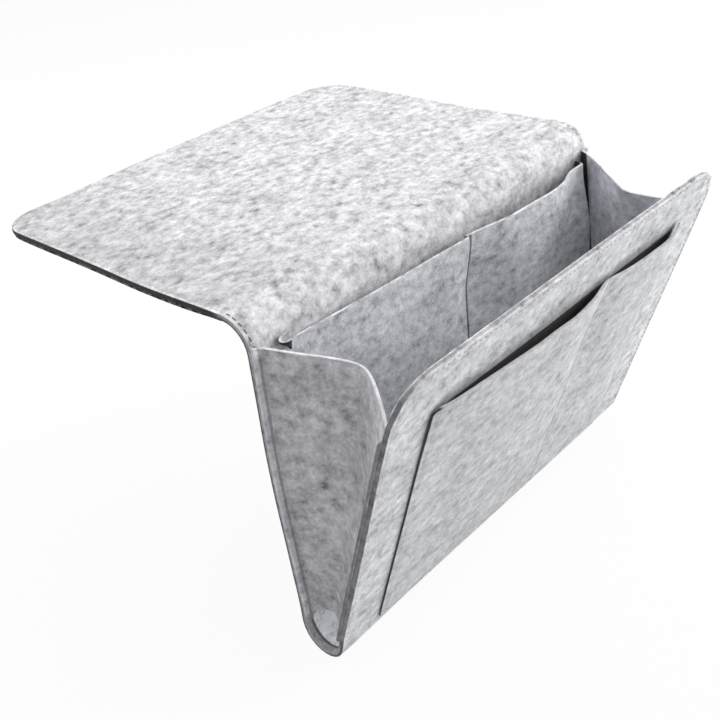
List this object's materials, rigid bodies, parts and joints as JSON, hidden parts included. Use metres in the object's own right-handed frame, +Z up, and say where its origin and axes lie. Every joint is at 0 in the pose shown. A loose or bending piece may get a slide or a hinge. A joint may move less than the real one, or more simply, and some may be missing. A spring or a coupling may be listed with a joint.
{
  "type": "bedside caddy",
  "caption": "Felt bedside caddy: a flap lies under a mattress and carries a hanging bag with a leaning front, creased side gussets, inner and outer pockets and cable holes.",
  "frame": {"origin": "middle of the flap's flat underside, on the surface that carries the flap", "axes": "+Z up, +Y over the bed along the flap, -Y into the room where the bag hangs, +X along the bed's edge to the right as seen from the room"},
  "size_m": [0.32, 0.3519, 0.2362],
  "materials": {
    "main_felt": "pressed wool-blend felt, light grey melange, cut edges",
    "pocket_felt": "thinner pressed felt, light grey melange, cut edges",
    "gusset_felt": "thinner pressed felt, light grey melange, creased",
    "grip": "near-black napped backing layer",
    "thread": "grey sewing thread"
  },
  "bodies": {
    "flap": {"flap_panel": "main_felt", "flap_bend": "main_felt", "grip_liner": "grip", "flap_edge_thread": "thread", "bend_edge_thread_left": "thread", "bend_edge_thread_right": "thread"},
    "back": {"back_panel": "main_felt", "bottom_fold": "main_felt", "gusset_left": "gusset_felt", "gusset_right": "gusset_felt", "inner_pocket_panel": "pocket_felt", "gusset_thread_back_left": "thread", "gusset_thread_back_right": "thread", "inner_pocket_thread": "thread"},
    "front": {"front_panel": "main_felt", "outer_pocket_panel": "pocket_felt", "front_edge_thread": "thread", "outer_pocket_thread": "thread", "gusset_thread_front_left": "thread", "gusset_thread_front_right": "thread"}
  },
  "joints": [
    {"name": "bag_fold", "type": "hinge", "parent": "flap", "child": "back", "pos_m": [0, -0.1155, -0.0145], "axis": [1, 0, 0], "range_deg": [-90, 90], "deforming": ["flap_bend", "bend_edge_thread_left", "bend_edge_thread_right"]},
    {"name": "front_swing", "type": "hinge", "parent": "back", "child": "front", "pos_m": [0, -0.1495, -0.2125], "axis": [1, 0, 0], "range_deg": [-18, 3], "deforming": ["bottom_fold", "gusset_left", "gusset_right"]}
  ]
}
